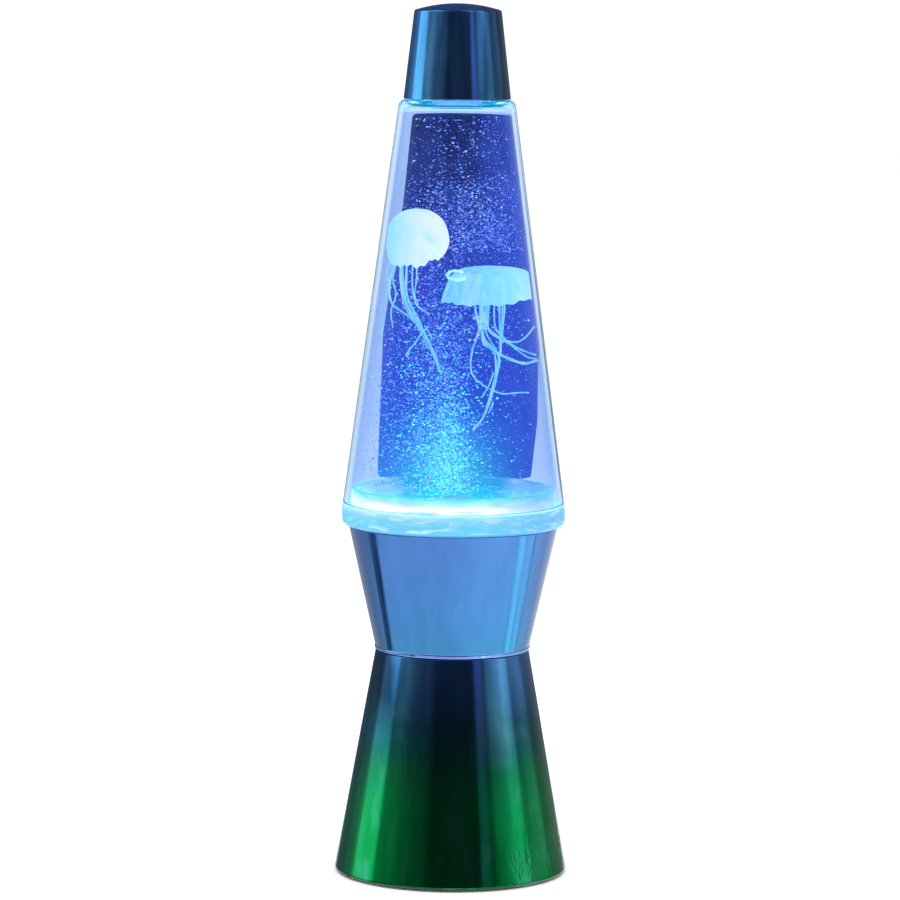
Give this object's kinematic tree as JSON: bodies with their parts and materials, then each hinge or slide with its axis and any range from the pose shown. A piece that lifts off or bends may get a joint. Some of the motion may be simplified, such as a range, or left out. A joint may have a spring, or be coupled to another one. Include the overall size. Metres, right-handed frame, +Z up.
{
  "type": "lava lamp",
  "caption": "Jellyfish lava lamp: chrome base and cup, clear tapered water tank with two jellyfish, magnetically driven impeller, light ring and lift-off cap.",
  "frame": {"origin": "centre of the feet on the table", "axes": "+Z up through the lamp's axis, the front faces -Y, the button and power inlet face +Y"},
  "size_m": [0.0986, 0.0986, 0.37],
  "materials": {
    "chrome_base": "polished",
    "chrome_cup": "polished",
    "chrome_cap": "polished",
    "black_plastic": "matte",
    "white_plastic": "satin",
    "rubber": "matte",
    "seal_rubber": "satin",
    "steel": "satin",
    "magnet": "polished",
    "cell_wrap": "satin",
    "green_board": "satin",
    "white_board": "satin",
    "light_lens": "gloss",
    "frosted_plastic": "satin",
    "wire_red": "satin",
    "wire_black": "satin",
    "clear_acrylic": "polished",
    "clear_guard": "polished",
    "blue_film": "satin",
    "water": "polished",
    "jelly": "satin",
    "jelly_strand": "satin"
  },
  "bodies": {
    "lamp": {"base_shell": "chrome_base", "base_plate": "black_plastic", "rubber_feet": "rubber", "base_plate_screws": "steel", "battery_tray": "white_plastic", "battery_cells": "cell_wrap", "battery_springs": "steel", "battery_contacts": "steel", "control_board": "green_board", "board_components": "black_plastic", "board_screws": "steel", "power_jack": "black_plastic", "jack_nut": "steel", "switch_body": "black_plastic", "cup_shell": "chrome_cup", "cup_screws": "steel", "motor_bracket": "white_plastic", "bracket_screws": "steel", "motor": "steel", "motor_screws": "steel", "light_board": "white_board", "lights": "light_lens", "light_diffuser": "frosted_plastic", "motor_leads": "wire_red", "light_leads": "wire_red", "battery_leads": "wire_black", "jack_leads": "wire_black", "tank_base": "clear_acrylic", "tank_screws": "steel", "tank_seal": "seal_rubber", "tank_body": "clear_acrylic", "backdrop_film": "blue_film", "impeller_pin": "steel", "impeller_guard": "clear_guard"},
    "battery_door": {"battery_door": "black_plastic", "door_screw": "steel"},
    "mode_button": {"mode_button": "black_plastic", "switch_plunger": "black_plastic"},
    "drive_rotor": {"motor_shaft": "steel", "drive_hub": "white_plastic", "drive_magnets": "magnet"},
    "impeller": {"impeller": "white_plastic", "impeller_magnets": "magnet"},
    "water": {"water_fill": "water"},
    "jellyfish_1": {"bell_1": "jelly", "tentacles_1": "jelly_strand"},
    "jellyfish_2": {"bell_2": "jelly", "tentacles_2": "jelly_strand"},
    "stopper": {"fill_stopper": "white_plastic", "stopper_ring": "seal_rubber"},
    "cap": {"cap": "chrome_cap", "cap_liner": "black_plastic"}
  },
  "joints": [
    {"name": "cap_lift", "type": "slide", "parent": "lamp", "child": "cap", "axis": [0, 0, 1], "range_m": [0, 0.06]},
    {"name": "stopper_pull", "type": "slide", "parent": "lamp", "child": "stopper", "axis": [0, 0, 1], "range_m": [0, 0.014]},
    {"name": "battery_door_release", "type": "slide", "parent": "lamp", "child": "battery_door", "axis": [0, 0, -1], "range_m": [0, 0.02]},
    {"name": "mode_button_press", "type": "slide", "parent": "lamp", "child": "mode_button", "axis": [0, -1, 0], "range_m": [0, 0.001], "stiffness_N_per_m": 600, "springref_m": -0.0005},
    {"name": "motor_spin", "type": "hinge", "parent": "lamp", "child": "drive_rotor", "pos_m": [0, 0, 0.118], "axis": [0, 0, 1], "continuous": true},
    {"name": "impeller_spin", "type": "hinge", "parent": "lamp", "child": "impeller", "pos_m": [0, 0, 0.157], "axis": [0, 0, 1], "continuous": true},
    {"name": "water_swirl", "type": "hinge", "parent": "lamp", "child": "water", "pos_m": [0, 0, 0.24], "axis": [0, 0, 1], "continuous": true},
    {"name": "jelly_1_drift", "type": "slide", "parent": "water", "child": "jellyfish_1", "axis": [0.1278, 0.0309, 0.9913], "range_m": [-0.045, 0.035], "stiffness_N_per_m": 0.5, "springref_m": 0.0468},
    {"name": "jelly_2_drift", "type": "slide", "parent": "water", "child": "jellyfish_2", "axis": [-0.1301, -0.0192, 0.9913], "range_m": [-0.025, 0.005], "stiffness_N_per_m": 0.5, "springref_m": 0.0676}
  ],
  "couplings": [
    {"joint": "impeller_spin", "follows": "motor_spin", "ratio": 1}
  ]
}
